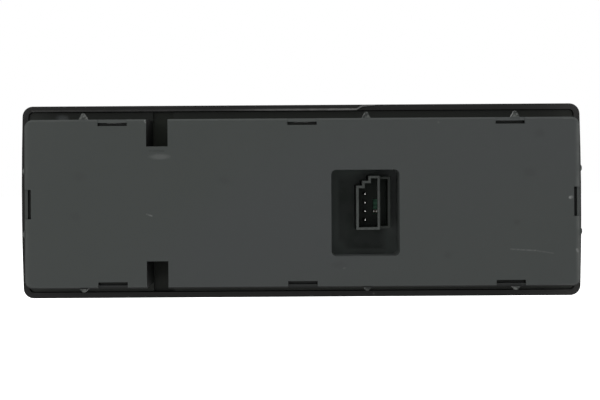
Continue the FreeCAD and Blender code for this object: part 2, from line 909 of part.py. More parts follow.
def connector_header():
    """The stepped connector shroud with its floor, locking bar and viewing slot."""
    floor_y = board_rear_y - header_floor
    shroud = header_outline(0, header_rim_y, board_rear_y)
    shroud = shroud.cut(header_outline(-header_wall, header_rim_y - 1, floor_y))
    shroud = shroud.cut(latch_box(pin_clearance, header_rim_y - 1, header_rim_y + latch_sink))
    bar_x = header_left + header_width - lock_bar_width
    bar = block(
        bar_x,
        bar_x + lock_bar_width,
        header_rim_y,
        header_rim_y + lock_bar_depth,
        header_bottom + header_wall / 2,
        header_bottom + header_height - header_wall / 2,
    )
    shroud = shroud.fuse(bar)
    slot = block(
        view_slot_x - view_slot_width / 2,
        view_slot_x + view_slot_width / 2,
        floor_y - 1,
        board_rear_y + 1,
        view_slot_z - view_slot_height / 2,
        view_slot_z + view_slot_height / 2,
    )
    shroud = shroud.cut(slot)
    half = pin_size / 2 + pin_clearance
    for z in pin_rows:
        shroud = shroud.cut(post_y(half, floor_y - 1, board_rear_y + 1, pin_x, z))
    return shroud.removeSplitter()


def terminal_pin(z):
    """A square pin with a tapered tip, from the header's mouth through the board."""
    half = pin_size / 2
    tip_y = back_y + pin_tip_depth
    neck_y = tip_y + pin_tip_taper
    reach = half * math.sqrt(2)
    shank = post_y(half, neck_y, board_front_y + pin_tail, pin_x, z)
    taper = even_sided(4, reach * pin_tip_share, reach, tip_y, neck_y, pin_x, z)
    return shank.fuse(taper).removeSplitter()


def indicator_light_guide():
    """The clear guide: a round rod with a square collar that seats behind the bezel's skin."""
    rear_y = board_front_y + lamp_thickness + guide_lamp_gap
    rod = rod_y(guide_radius, rear_y, field_y + guide_stand, button_column, guide_z)
    collar_y = skin_rear_y - guide_collar_thickness
    collar = post_y(guide_collar_width / 2, collar_y, skin_rear_y, button_column, guide_z)
    return rod.fuse(collar).removeSplitter()


def backlight_leds():
    """The lamps on the board's front: a moulded body between two terminals."""
    lamps = []
    half = lamp_width / 2
    under_y = board_front_y + solder_foot / 2
    foot_y = board_front_y + lamp_thickness / 2
    front_y = board_front_y + lamp_thickness
    right_side = [
        (half / 2, under_y),
        (half / 2, board_front_y),
        (half + solder_foot, board_front_y),
        (half + solder_foot, foot_y),
        (half, foot_y),
        (half, front_y),
    ]
    outline = right_side + [(-x, y) for x, y in reversed(right_side)]
    for x, z in lamp_places():
        lamps.append(upright_bar([(x + across, y) for across, y in outline], z, lamp_height))
    return Part.makeCompound(lamps)


def on_board(x, z, size, stand=0.0):
    """A block on the board's back, centred at (x, z), size along X, along Z and out of the board."""
    length, height, thickness = size
    across = length / 2
    up = height / 2
    front_y = board_rear_y - stand
    return block(x - across, x + across, front_y - thickness, front_y, z - up, z + up)


def gull_wing_lead(body_half, lead_width, body_rise, reach):
    """One slanted lead along +X from a body's side, its foot on the board's back."""
    foot = solder_foot
    shoulder_y = board_rear_y - body_rise
    outline = [
        (body_half - foot, shoulder_y),
        (body_half + foot, shoulder_y),
        (body_half + reach, board_rear_y - foot),
        (body_half + reach, board_rear_y),
        (body_half + reach / 2, board_rear_y),
        (body_half - foot, shoulder_y + foot),
    ]
    return upright_bar(outline, 0, lead_width)


def leaded_package(x, z, size, leads, pitch, sides):
    """A moulded package with rows of bent leads on two or four of its sides."""
    length, height, thickness = size
    body = on_board(0, 0, size, package_stand)
    rise = thickness / 2 + package_stand
    for side in sides:
        half = length / 2 if side % 180 == 0 else height / 2
        for index in range(leads):
            lead = gull_wing_lead(half, pitch * lead_share, rise, lead_reach)
            lead.translate(Vector(0, 0, (index - (leads - 1) / 2) * pitch))
            lead.rotate(Vector(0, 0, 0), Vector(0, 1, 0), side)
            body = body.fuse(lead)
    body.translate(Vector(x, 0, z))
    return body


def microcontroller():
    """The controller in a flat package with leads on four sides."""
    sides = (0, 90, 180, 270)
    return leaded_package(controller_x, 0, controller_size, controller_lead_count, controller_pitch, sides)


def bus_transceiver():
    """The data bus driver in a small package with leads on two sides."""
    sides = (0, 180)
    return leaded_package(
        transceiver_x, -transceiver_drop, transceiver_size, transceiver_lead_count, transceiver_pitch, sides
    )


def voltage_regulator():
    """The regulator: a power package with a soldered tab and two leads."""
    x = regulator_x
    z = regulator_rise
    body = on_board(x, z, regulator_size)
    body = body.fuse(on_board(x, z + regulator_tab[1] / 2, regulator_tab))
    for side in (-1, 1):
        lead = gull_wing_lead(
            regulator_size[1] / 2, regulator_lead_width, regulator_size[2] / 2, regulator_lead_reach
        )
        lead.rotate(Vector(0, 0, 0), Vector(0, 1, 0), 90)
        lead.translate(Vector(x + side * regulator_lead_spacing / 2, 0, z))
        body = body.fuse(lead)
    return body.removeSplitter()


def filter_capacitor():
    """The upright metal can capacitor on its moulded base."""
    base = on_board(can_x, -can_drop, (can_base_width, can_base_width, can_base_height))
    base_y = board_rear_y - can_base_height
    can = rod_y(can_radius, base_y - can_height, base_y, can_x, -can_drop)
    return base.fuse(can).removeSplitter()


def protection_diode():
    """The diode that guards the supply: a moulded body with two wrapped terminals."""
    length, height, thickness = diode_size
    body = on_board(transceiver_x, diode_rise, (length, height, thickness - package_stand), package_stand)
    for side in (-1, 1):
        body = body.fuse(on_board(transceiver_x + side * length / 2, diode_rise, diode_terminal))
    return body.removeSplitter()


def chip(x, z, size):
    """A chip part: a ceramic bar between two slightly thicker end caps."""
    length, height, thickness = size
    inner = length / 4
    half = length / 2
    low_y = board_rear_y - chip_edge
    high_y = board_rear_y - thickness
    right_side = [
        (inner, low_y),
        (inner, board_rear_y),
        (half, board_rear_y),
        (half, high_y),
        (inner, high_y),
        (inner, high_y + chip_edge),
    ]
    outline = right_side + [(-across, y) for across, y in reversed(right_side)]
    return upright_bar([(x + across, y) for across, y in outline], z, height)


def chip_capacitors():
    """The ceramic capacitors, one of them in sight through the header's slot."""
    places = [
        (view_slot_x, view_slot_z - slot_chip_drop),
        (controller_x, chip_row_gap),
        (controller_x - chip_row_gap, 0),
        (transceiver_x - chip_row_gap / 2, -transceiver_drop - chip_row_gap / 2),
        (transceiver_x + chip_row_gap / 2, -transceiver_drop - chip_row_gap / 2),
    ]
    return Part.makeCompound([chip(x, z, capacitor_size) for x, z in places])


def chip_resistors():
    """The chip resistors, in a row beside the controller and one by each lamp."""
    row = [(controller_x + chip_row_gap, chip_spacing * index) for index in (-1, 0, 1)]
    lamp_row = [(column + lamp_resistor_shift, lamp_resistor_z) for column in key_reaches]
    return Part.makeCompound([chip(x, z, resistor_size) for x, z in row + lamp_row])


def window_rockers():
    """The four window keys by name, in the order in which they stand along the module."""
    places = ("front_left", "front_right", "rear_left", "rear_right")
    columns = dict(zip(places, window_columns))
    return {"window_rocker_" + place: rocker(column, key_reach) for place, column in columns.items()}


def all_pieces():
    """Every piece of the switch by name."""
    pieces = {
        "rear_cover": rear_cover(),
        "front_bezel": front_bezel(),
        "key_carrier": key_carrier(),
        "circuit_board": circuit_board(),
        "connector_header": connector_header(),
        "board_screws": board_screws(),
        "key_mat": key_mat(),
        "contact_pills": contact_pills(),
        "lock_rocker": rocker(lock_column, lock_key_reach),
        "lockout_button": lockout_button(),
        "indicator_light_guide": indicator_light_guide(),
        "backlight_leds": backlight_leds(),
        "microcontroller": microcontroller(),
        "bus_transceiver": bus_transceiver(),
        "voltage_regulator": voltage_regulator(),
        "filter_capacitor": filter_capacitor(),
        "protection_diode": protection_diode(),
        "chip_capacitors": chip_capacitors(),
        "chip_resistors": chip_resistors(),
    }
    pieces.update(window_rockers())
    for index, z in enumerate(pin_rows):
        pieces["terminal_pin_%d" % (index + 1)] = terminal_pin(z)
    return pieces


os.makedirs("parts", exist_ok=True)
for name, shape in all_pieces().items():
    shape.exportStep(os.path.join("parts", name + ".step"))
    print(name, "solids", len(shape.Solids), "valid", shape.isValid(), "volume", round(shape.Volume, 2))
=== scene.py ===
import json
import math

import bmesh
import bpy
from mathutils import Euler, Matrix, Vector
from mathutils.bvhtree import BVHTree


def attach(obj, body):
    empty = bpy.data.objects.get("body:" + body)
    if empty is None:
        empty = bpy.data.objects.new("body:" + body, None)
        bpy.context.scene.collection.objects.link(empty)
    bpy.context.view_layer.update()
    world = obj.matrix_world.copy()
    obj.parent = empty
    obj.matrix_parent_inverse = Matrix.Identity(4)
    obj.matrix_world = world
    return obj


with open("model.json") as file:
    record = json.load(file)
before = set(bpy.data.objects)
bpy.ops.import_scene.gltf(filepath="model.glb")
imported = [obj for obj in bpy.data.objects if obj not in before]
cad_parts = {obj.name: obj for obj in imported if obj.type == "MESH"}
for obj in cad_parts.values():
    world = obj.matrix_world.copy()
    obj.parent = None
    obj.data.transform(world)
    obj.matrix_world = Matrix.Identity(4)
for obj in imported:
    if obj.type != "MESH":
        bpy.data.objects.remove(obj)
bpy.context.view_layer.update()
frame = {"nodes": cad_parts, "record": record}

# Metres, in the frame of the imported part: +X along the module, +Z up, rear cover towards -Y.
# Where a material follows the shape of a piece, its levels are in millimetres.
MM = 0.001

# Camera, straight behind the module, a little above and to the left of its middle
camera_place = Vector((-5.15, -398.0, 11.79)) * MM
camera_lens = 80.38
camera_shift = (0.02674, -0.06447)
camera_roll = math.radians(0.36)

# The floor's level, its glow where it is seen, and the strength of the light from all round
floor_z = -75.0 * MM
floor_glow = 0.78
world_level = 0.3

# Soft boxes: place and size in metres, power in watts
soft_boxes = {
    "light_above": ((0.05, -0.35, 0.85), 0.7, 4.6),
    "light_right": ((0.78, -0.35, 0.15), 0.6, 1.1),
    "light_left": ((-0.68, -0.55, 0.2), 0.6, 1.8),
    "light_behind": ((-0.1, -0.9, -0.05), 0.6, 1.0),
    "light_front": ((-0.2, 0.7, 0.55), 0.7, 5.0),
}

# Radius in millimetres of the rounded edges of each node; nodes that aren't named stay sharp
edge_radius = {
    "rear_cover": 0.14,
    "front_bezel": 0.16,
    "key_carrier": 0.08,
    "connector_header": 0.09,
    "lockout_button": 0.22,
}
rocker_radius = 0.25

# Tones that several plastics share
# Pale grey of the scratches, and of a painted sheen on the cover
scratch_and_sheen_grey = (0.21, 0.215, 0.21)
dust_grey = (0.2, 0.2, 0.19)

# Where the cover's features lie, in millimetres
cover_side = 24.0
cover_end = 78.6
notch_columns = (-44.1, -37.9)
notch_reach = (16.0, 16.15)
slot_depths = (-19.86, -18.5)
low_slot_rows = (-23.95, -22.95)
left_slot_columns = (-78.5, -77.5)
pocket_columns = (8.2, 27.6)
pocket_rows = (-15.4, 9.6)
pocket_depths = (-16.0, -10.5)

# Where the bezel's bead, the carrier's arms and the header's mouth begin and end along Y, in millimetres
bead_depths = (-0.3, -0.1)
arm_tip_depths = (-15.5, -14.5)
behind_notch_depths = (1.0, 1.5)
header_rim_depths = (-15.78, -15.6)
header_inside_depths = (-14.5, -9.5)

# The row of keys on the front, and how far their print stands proud
key_pitch = 25.5 * MM
key_columns = [(index - 2.5) * key_pitch for index in range(6)]
print_rise = 0.02 * MM
above_keys = 50.0 * MM


# Node trees

def plug(tree, socket, value):
    """Feeds a socket from another socket, or sets its own value."""
    if isinstance(value, bpy.types.NodeSocket):
        tree.links.new(value, socket)
    else:
        socket.default_value = value


def calc(tree, operation, *values):
    """A Math node's result."""
    node = tree.nodes.new("ShaderNodeMath")
    node.operation = operation
    for socket, value in zip(node.inputs, values):
        plug(tree, socket, value)
    return node.outputs[0]


def chain(tree, operation, first, *others):
    """Several values joined one after another by a Math operation."""
    for other in others:
        first = calc(tree, operation, first, other)
    return first


def vector_calc(tree, operation, *values):
    """A Vector Math node."""
    node = tree.nodes.new("ShaderNodeVectorMath")
    node.operation = operation
    for socket, value in zip(node.inputs, values):
        plug(tree, socket, value)
    return node


def ramp(tree, value, low, high, start=0.0, end=1.0):
    """A value eased from start to end as it goes from low to high."""
    node = tree.nodes.new("ShaderNodeMapRange")
    node.interpolation_type = "SMOOTHSTEP"
    for label, number in (("From Min", low), ("From Max", high), ("To Min", start), ("To Max", end)):
        plug(tree, node.inputs[label], number)
    plug(tree, node.inputs["Value"], value)
    return node.outputs["Result"]


def band(tree, value, low, high, soft=0.05):
    """A value that is 1 between two levels and falls to 0 outside them."""
    rise = ramp(tree, value, low - soft, low)
    fall = ramp(tree, value, high, high + soft, 1.0, 0.0)
    return calc(tree, "MULTIPLY", rise, fall)


def noise(tree, vector, scale, detail=2.0, roughness=0.5):
    """A Noise Texture's value."""
    node = tree.nodes.new("ShaderNodeTexNoise")
    plug(tree, node.inputs["Vector"], vector)
    plug(tree, node.inputs["Scale"], scale)
    node.inputs["Detail"].default_value = detail
    node.inputs["Roughness"].default_value = roughness
    return node.outputs["Fac"]


def axes(tree, vector):
    """A vector's three parts, in millimetres."""
    node = tree.nodes.new("ShaderNodeSeparateXYZ")
    scaled = vector_calc(tree, "MULTIPLY", vector, (1 / MM, 1 / MM, 1 / MM))
    plug(tree, node.inputs["Vector"], scaled.outputs["Vector"])
    return node.outputs["X"], node.outputs["Y"], node.outputs["Z"]


def mix(tree, share, first, second):
    """Two colours mixed by a share."""
    node = tree.nodes.new("ShaderNodeMix")
    node.data_type = "RGBA"
    plug(tree, node.inputs["Factor"], share)
    colours = [socket for socket in node.inputs if socket.type == "RGBA"]
    for socket, shade in zip(colours, (first, second)):
        plug(tree, socket, shade if isinstance(shade, bpy.types.NodeSocket) else (*shade, 1))
    return next(socket for socket in node.outputs if socket.type == "RGBA")


def lay(tree, colour, mask, share, tint):
    """A colour with a tint laid over it, at a share of a mask."""
    return mix(tree, calc(tree, "MULTIPLY", mask, share), colour, tint)


def new_group(name, inputs, outputs):
    """A shader node group with named sockets, and its input and output nodes."""
    tree = bpy.data.node_groups.new(name, "ShaderNodeTree")
    for label, kind, value in inputs:
        socket = tree.interface.new_socket(label, in_out="INPUT", socket_type="NodeSocket" + kind)
        socket.default_value = value
    for label, kind in outputs:
        tree.interface.new_socket(label, in_out="OUTPUT", socket_type="NodeSocket" + kind)
    return tree, tree.nodes.new("NodeGroupInput").outputs, tree.nodes.new("NodeGroupOutput").inputs


def make_moulded_grain():
    """Spark-eroded mould texture: a fine height, and a slow change of tone over the piece."""
    tree, given, result = new_group(
        "moulded grain",
        [("Vector", "Vector", (0, 0, 0)), ("Grain per metre", "Float", 3000.0)],
        [("Height", "Float"), ("Tone", "Float")],
    )
    fine = noise(tree, given["Vector"], given["Grain per metre"], 3.0, 0.6)
    coarse = noise(tree, given["Vector"], calc(tree, "MULTIPLY", given["Grain per metre"], 0.3), 1.0)
    plug(tree, result["Height"], calc(tree, "ADD", fine, calc(tree, "MULTIPLY", coarse, 0.5)))
    slow = noise(tree, given["Vector"], 22.0, 3.0, 0.55)
    plug(tree, result["Tone"], ramp(tree, slow, 0.3, 0.7))
    return tree


def make_hairline():
    """A scratch from one point to another, seen along Y, broken up along its length."""
    tree, given, result = new_group(
        "hairline",
        [
            ("Vector", "Vector", (0, 0, 0)),
            ("Start", "Vector", (0, 0, 0)),
            ("End", "Vector", (0.01, 0, 0)),
            ("Width", "Float", 0.0003),
        ],
        [("Mask", "Float")],
    )
    flat = vector_calc(tree, "MULTIPLY", given["Vector"], (1, 0, 1)).outputs["Vector"]
    way = vector_calc(tree, "SUBTRACT", given["End"], given["Start"]).outputs["Vector"]
    out = vector_calc(tree, "SUBTRACT", flat, given["Start"]).outputs["Vector"]
    along = vector_calc(tree, "DOT_PRODUCT", out, way).outputs["Value"]
    whole = vector_calc(tree, "DOT_PRODUCT", way, way).outputs["Value"]
    share = calc(tree, "MINIMUM", calc(tree, "MAXIMUM", calc(tree, "DIVIDE", along, whole), 0.0), 1.0)
    scale_node = vector_calc(tree, "SCALE", way)
    plug(tree, scale_node.inputs["Scale"], share)
    gap = vector_calc(tree, "SUBTRACT", out, scale_node.outputs["Vector"]).outputs["Vector"]
    away = vector_calc(tree, "LENGTH", gap).outputs["Value"]
    line = ramp(tree, calc(tree, "DIVIDE", away, given["Width"]), 0.3, 1.0, 1.0, 0.0)
    faint = ramp(tree, noise(tree, flat, 900.0, 2.0), 0.35, 0.6, 0.35, 1.0)
    plug(tree, result["Mask"], calc(tree, "MULTIPLY", line, faint))
    return tree


def make_smudge():
    """A soft uneven patch round a point, seen along Y."""
    tree, given, result = new_group(
        "smudge",
        [
            ("Vector", "Vector", (0, 0, 0)),
            ("Centre", "Vector", (0, 0, 0)),
            ("Reach", "Vector", (0.002, 1, 0.002)),
            ("Raggedness", "Float", 0.6),
        ],
        [("Mask", "Float")],
    )
    flat = vector_calc(tree, "MULTIPLY", given["Vector"], (1, 0, 1)).outputs["Vector"]
    out = vector_calc(tree, "SUBTRACT", flat, given["Centre"]).outputs["Vector"]
    share = vector_calc(tree, "DIVIDE", out, given["Reach"]).outputs["Vector"]
    away = vector_calc(tree, "LENGTH", share).outputs["Value"]
    ragged = calc(tree, "MULTIPLY_ADD", noise(tree, flat, 700.0, 3.0), given["Raggedness"], away)
    plug(tree, result["Mask"], ramp(tree, ragged, 0.55, 1.3, 1.0, 0.0))
    return tree


def make_dust():
    """Small pale specks, one in a few of the cells of a fine grid."""
    tree, given, result = new_group(
        "dust",
        [("Vector", "Vector", (0, 0, 0)), ("Cells per metre", "Float", 400.0), ("Amount", "Float", 0.1)],
        [("Mask", "Float")],
    )
    cells = tree.nodes.new("ShaderNodeTexVoronoi")
    plug(tree, cells.inputs["Vector"], given["Vector"])
    plug(tree, cells.inputs["Scale"], given["Cells per metre"])
    parts = tree.nodes.new("ShaderNodeSeparateColor")
    plug(tree, parts.inputs["Color"], cells.outputs["Color"])
    chosen = calc(tree, "LESS_THAN", parts.outputs["Red"], given["Amount"])
    size = calc(tree, "MULTIPLY_ADD", parts.outputs["Green"], 0.12, 0.04)
    speck = ramp(tree, calc(tree, "DIVIDE", cells.outputs["Distance"], size), 0.5, 1.0, 1.0, 0.0)
    plug(tree, result["Mask"], calc(tree, "MULTIPLY", chosen, speck))
    return tree


moulded_grain = make_moulded_grain()
hairline = make_hairline()
smudge = make_smudge()
dust = make_dust()


def place_group(tree, group, **values):
    """One use of a node group, with its sockets fed by name (spaces written as underscores)."""
    node = tree.nodes.new("ShaderNodeGroup")
    node.node_tree = group
    for label, value in values.items():
        plug(tree, node.inputs[label.replace("_", " ")], value)
    return node.outputs


def smudged(tree, place, centre, reach, raggedness=0.6):
    """The mask of a smudge round an (x, z) point, with its reach along X and Z, in millimetres."""
    (x, z), (wide, high) = centre, reach
    return place_group(
        tree, smudge, Vector=place, Centre=Vector((x, 0, z)) * MM, Reach=(wide * MM, 1, high * MM),
        Raggedness=raggedness,
    )["Mask"]


def scratched(tree, place, start, end, width):
    """The mask of a hairline between two (x, z) points, in millimetres."""
    (x0, z0), (x1, z1) = start, end
    return place_group(
        tree, hairline, Vector=place, Start=Vector((x0, 0, z0)) * MM, End=Vector((x1, 0, z1)) * MM,
        Width=width * MM,
    )["Mask"]


def dusty(tree, place, cells, amount):
    """The mask of the specks of dust, with so many cells per metre and a share of them filled."""
    return place_group(tree, dust, Vector=place, Cells_per_metre=cells, Amount=amount)["Mask"]


# Materials

def new_material(name, roughness=0.5, specular=0.5, metallic=0.0):
    """A material with its shader, and the coordinates that its patterns follow."""
    material = bpy.data.materials.new(name)
    material.use_nodes = True
    tree = material.node_tree
    shader = tree.nodes["Principled BSDF"]
    shader.inputs["Roughness"].default_value = roughness
    shader.inputs["Specular IOR Level"].default_value = specular
    shader.inputs["Metallic"].default_value = metallic
    place = tree.nodes.new("ShaderNodeTexCoord").outputs["Object"]
    return material, tree, shader.inputs, place


def bump(tree, shader, height, strength, distance):
    """Feeds a height to a shader's normal."""
    node = tree.nodes.new("ShaderNodeBump")
    node.inputs["Strength"].default_value = strength
    node.inputs["Distance"].default_value = distance
    plug(tree, node.inputs["Height"], height)
    plug(tree, shader["Normal"], node.outputs["Normal"])


def coat(tree, shader, colour, skin, roughness, spread=0.08, strength=0.35, depth=0.02 * MM):
    """Feeds a moulded plastic's colour, its roughness that spreads round a value, and its grain."""
    plug(tree, shader["Base Color"], colour)
    plug(tree, shader["Roughness"], calc(tree, "MULTIPLY_ADD", skin["Tone"], spread, roughness - spread / 2))
    bump(tree, shader, skin["Height"], strength, depth)


def moulded_plastic(name, dark, light, roughness, specular, grain, depth):
    """Moulded plastic or rubber: grain, and a slow change between two tones."""
    material, tree, shader, place = new_material(name, roughness, specular)
    skin = place_group(tree, moulded_grain, Vector=place, Grain_per_metre=grain)
    coat(tree, shader, mix(tree, skin["Tone"], dark, light), skin, roughness, depth=depth)
    return material


def add_cover_marks(tree, place, colour):
    """Faint stains, a painted sheen in a crescent below the upper notch, scratches, a painted shade line
    between that crescent and the notch, and specks on the cover.
    """
    stains = [
        ((64.2, 8.3), (2.6, 1.8)), ((67.0, 19.3), (2.2, 1.8)), ((60.5, -5.8), (1.4, 1.1)),
        ((10.5, -17.5), (3.0, 1.5)), ((-22.0, 6.5), (2.4, 1.4)), ((41.0, -15.0), (1.6, 1.2)),
        ((-62.8, 7.8), (2.6, 1.8)), ((-64.2, -3.5), (2.2, 1.6)),
    ]
    stain_tone = (0.036, 0.038, 0.037)
    for centre, reach in stains:
        colour = lay(tree, colour, smudged(tree, place, centre, reach), 0.28, stain_tone)
    # Painted sheen: a pale crescent below the upper notch, standing for light on a slight bulge there
    crescent = smudged(tree, place, (-40.2, 13.3), (3.4, 1.0), raggedness=0.4)
    colour = lay(tree, colour, crescent, 0.17, scratch_and_sheen_grey)
    # Start, end and width of each scratch, and how strongly it shows
    scratches = [
        ((-43.9, -2.9), (-42.5, -3.4), 0.3, 0.4), ((58.6, -13.4), (65.6, -13.8), 0.3, 0.22),
        ((65.6, -13.8), (70.7, -14.6), 0.28, 0.12), ((75.6, 1.1), (76.0, 1.2), 0.62, 1.0),
        ((77.4, -13.6), (77.6, -14.1), 0.5, 0.55), ((11.6, -18.5), (11.8, -18.4), 0.35, 0.3),
        ((-44.35, 23.4), (-44.2, 23.0), 0.38, 0.45),
    ]
    for start, end, width, share in scratches:
        colour = lay(tree, colour, scratched(tree, place, start, end, width), share, scratch_and_sheen_grey)
    # Painted shade: a dark line between the crescent and the upper notch, where the bulge's step shades the
    # cover
    below_notch = scratched(tree, place, (-43.3, 15.0), (-39.1, 14.9), 0.4)
    colour = lay(tree, colour, below_notch, 0.35, (0.02, 0.021, 0.02))
    return lay(tree, colour, dusty(tree, place, 260.0, 0.02), 0.14, dust_grey)


def shade_cover_hollows(tree, place, colour):
    """Scuffed nibs, and painted shade on the walls of the clip notches and on the sunk strips of the snap slots
    below and at the left.
    """
    x, y, z = axes(tree, place)
    height = calc(tree, "ABSOLUTE", z)
    past_side = calc(tree, "GREATER_THAN", height, cover_side)
    past_end = calc(tree, "GREATER_THAN", calc(tree, "ABSOLUTE", x), cover_end)
    scuffed = ramp(tree, noise(tree, place, 1100.0, 2.0), 0.38, 0.62)
    scuff = mix(tree, scuffed, (0.02, 0.022, 0.021), (0.09, 0.095, 0.09))
    colour = mix(tree, calc(tree, "MAXIMUM", past_side, past_end), colour, scuff)
    # Painted shade on the cover's walls inside the clip notches, below its back
    below_back = ramp(tree, y, -19.6, -19.2)
    notches = chain(
        tree, "MULTIPLY", band(tree, x, *notch_columns), ramp(tree, height, *notch_reach), below_back
    )
    colour = mix(tree, notches, colour, (0.0038, 0.0044, 0.004))
    # Painted shade on the sunk strips of the snap slots: darker in the lower row, most at its lower edge, and
    # fainter in the left-hand slot
    sunk = band(tree, y, *slot_depths, soft=0.012)
    low_slots = calc(tree, "MULTIPLY", band(tree, z, *low_slot_rows), sunk)
    low_share = ramp(tree, z, -23.55, -23.3, 0.96, 0.75)
    colour = lay(tree, colour, low_slots, low_share, (0.006, 0.0065, 0.0063))
    left_slot = calc(tree, "MULTIPLY", band(tree, x, *left_slot_columns), sunk)
    return lay(tree, colour, left_slot, 0.2, (0.012, 0.013, 0.0125))


def shade_cover_pocket(tree, place, colour):
    """Painted shade on the connector pocket's floor, darker and blotched in the middle, and painted light that
    makes it paler near its walls and palest in the upper right, where the header shades it.
    """
    x, y, z = axes(tree, place)
    pocket = chain(
        tree, "MULTIPLY",
        band(tree, x, *pocket_columns), band(tree, z, *pocket_rows), ramp(tree, y, *pocket_depths),
    )
    # Painted shade: the floor darker than the cover, in blotches
    blotched = ramp(tree, noise(tree, place, 230.0, 2.0), 0.4, 0.66)
    floor_shade_tone = mix(tree, blotched, (0.03, 0.0345, 0.0325), (0.0228, 0.0272, 0.0242))
    # Painted light: paler towards the walls and the lower left corner
    near_left = ramp(tree, x, 10.0, 11.3, 1.0, 0.0)
    near_right = ramp(tree, x, 22.0, 25.0)
    near_bottom = ramp(tree, z, -14.1, -13.2, 1.0, 0.0)
    near_top = ramp(tree, z, 5.0, 8.5)
    low_corner = ramp(tree, calc(tree, "ADD", x, z), -2.0, 1.5, 1.0, 0.0)
    lit_near_wall = chain(tree, "MAXIMUM", near_left, near_right, near_bottom, near_top, low_corner)
    # Painted light, palest in the upper right where the header bay shades the floor
    header_bay_lift = calc(tree, "MULTIPLY", near_right, ramp(tree, z, -11.0, -7.0))
    wall_light_tone = mix(tree, header_bay_lift, (0.0475, 0.0545, 0.0515), (0.068, 0.074, 0.072))
    return mix(tree, pocket, colour, mix(tree, lit_near_wall, floor_shade_tone, wall_light_tone))


def highlight_cover_edges(tree, place, colour):
    """Painted highlight along the ends of the cover's back and round its right-hand corners, broken into
    patches.
    """
    x, y, z = axes(tree, place)
    height = calc(tree, "ABSOLUTE", z)
    # Painted highlight, strongest at the right-hand end and corners, on the back face only
    right_edge = ramp(tree, x, 76.8, 78.0, 0.0, 0.5)
    left_edge = ramp(tree, x, -78.3, -76.6, 0.2, 0.0)
    right_corners = calc(tree, "MULTIPLY", ramp(tree, x, 68.0, 76.0), ramp(tree, height, 23.1, 23.7, 0.0, 0.55))
    corner_arc = ramp(tree, calc(tree, "ADD", x, height), 100.0, 100.6, 0.0, 0.9)
    edges = chain(tree, "MAXIMUM", right_edge, left_edge, right_corners, corner_arc)
    patchy = ramp(tree, noise(tree, place, 320.0, 3.0), 0.3, 0.65, 0.45, 1.0)
    on_back = ramp(tree, y, -19.87, -19.85, 1.0, 0.0)
    return mix(tree, chain(tree, "MULTIPLY", edges, patchy, on_back), colour, (0.125, 0.13, 0.125))


def make_cover_plastic():
    """The cover's dark grey plastic, with the scratches, rub marks and specks of a used part, and painted shade
    and painted highlights in its hollows and along its edges.
    """
    material, tree, shader, place = new_material("cover_plastic", 0.62, 0.12)
    skin = place_group(tree, moulded_grain, Vector=place, Grain_per_metre=2600.0)
    colour = mix(tree, skin["Tone"], (0.047, 0.052, 0.0495), (0.0508, 0.0555, 0.0532))
    blue = ramp(tree, noise(tree, place, 14.0, 1.0), 0.45, 0.7)
    colour = lay(tree, colour, blue, 0.25, (0.052, 0.0535, 0.06))
    colour = add_cover_marks(tree, place, colour)
    colour = shade_cover_hollows(tree, place, colour)
    colour = shade_cover_pocket(tree, place, colour)
    colour = highlight_cover_edges(tree, place, colour)
    coat(tree, shader, colour, skin, 0.62, spread=0.1, strength=0.4)
    return material


def make_bezel_plastic():
    """The bezel's black plastic, paler towards its right end and top, with a painted highlight along its bead
    and its corners specked with wear.
    """
    material, tree, shader, place = new_material("bezel_plastic", 0.46, 0.12)
    skin = place_group(tree, moulded_grain, Vector=place, Grain_per_metre=2400.0)
    colour = mix(tree, skin["Tone"], (0.0075, 0.0075, 0.0073), (0.0105, 0.0105, 0.01))
    x, y, z = axes(tree, place)
    paler_tone = (0.03, 0.03, 0.029)
    # Paler towards the right-hand end and towards the top edge
    colour = mix(tree, ramp(tree, x, 56.0, 82.0, 0.0, 0.5), colour, paler_tone)
    colour = mix(tree, ramp(tree, z, 24.0, 27.0, 0.0, 0.18), colour, paler_tone)
    near_end = ramp(tree, calc(tree, "ABSOLUTE", x), 77.5, 80.5)
    near_side = ramp(tree, calc(tree, "ABSOLUTE", z), 22.5, 25.5)
    corner_wear = chain(tree, "MULTIPLY", dusty(tree, place, 1100.0, 0.3), near_end, near_side)
    specks = calc(tree, "MULTIPLY", dusty(tree, place, 330.0, 0.06), 0.3)
    colour = mix(tree, calc(tree, "MAXIMUM", specks, corner_wear), colour, (0.16, 0.16, 0.155))
    # Painted highlight on the bead along the rim's inner edge, broken into streaks and strongest towards its
    # right-hand end
    bead = ramp(tree, y, *bead_depths, 1.0, 0.0)
    streaks = ramp(tree, noise(tree, place, 260.0, 2.0), 0.3, 0.7, 0.6, 1.0)
    highlight_to_right = ramp(tree, x, -28.0, 6.0, 0.12, 1.0)
    colour = mix(tree, chain(tree, "MULTIPLY", bead, streaks, highlight_to_right), colour, (0.165, 0.165, 0.161))
    coat(tree, shader, colour, skin, 0.46)
    return material


def make_carrier_plastic():
    """The carrier's black plastic with a green cast, with painted shade where it lies deep behind the notches,
    a little lighter in the upper one, and on the tips of its arms in the snap slots.
    """
    material, tree, shader, place = new_material("carrier_plastic", 0.5, 0.12)
    skin = place_group(tree, moulded_grain, Vector=place, Grain_per_metre=3200.0)
    colour = mix(tree, skin["Tone"], (0.0088, 0.0102, 0.0086), (0.0124, 0.0138, 0.012))
    y, z = axes(tree, place)[1:]
    # Painted shade deep behind the clip notches, less in the upper notch
    upper_notch = calc(tree, "GREATER_THAN", z, 0.0)
    deep = mix(tree, upper_notch, (0.0078, 0.0092, 0.0074), (0.0105, 0.013, 0.0094))
    colour = mix(tree, ramp(tree, y, *behind_notch_depths), colour, deep)
    # Painted shade on the arm tips in the snap slots
    arm_tips = ramp(tree, y, *arm_tip_depths, 1.0, 0.0)
    colour = mix(tree, arm_tips, colour, (0.0045, 0.0055, 0.0048))
    scuffed = smudged(tree, place, (-71.0, 25.0), (2.6, 1.5))
    colour = lay(tree, colour, scuffed, 0.6, (0.07, 0.075, 0.076))
    colour = lay(tree, colour, dusty(tree, place, 330.0, 0.05), 0.3, dust_grey)
    coat(tree, shader, colour, skin, 0.5)
    return material


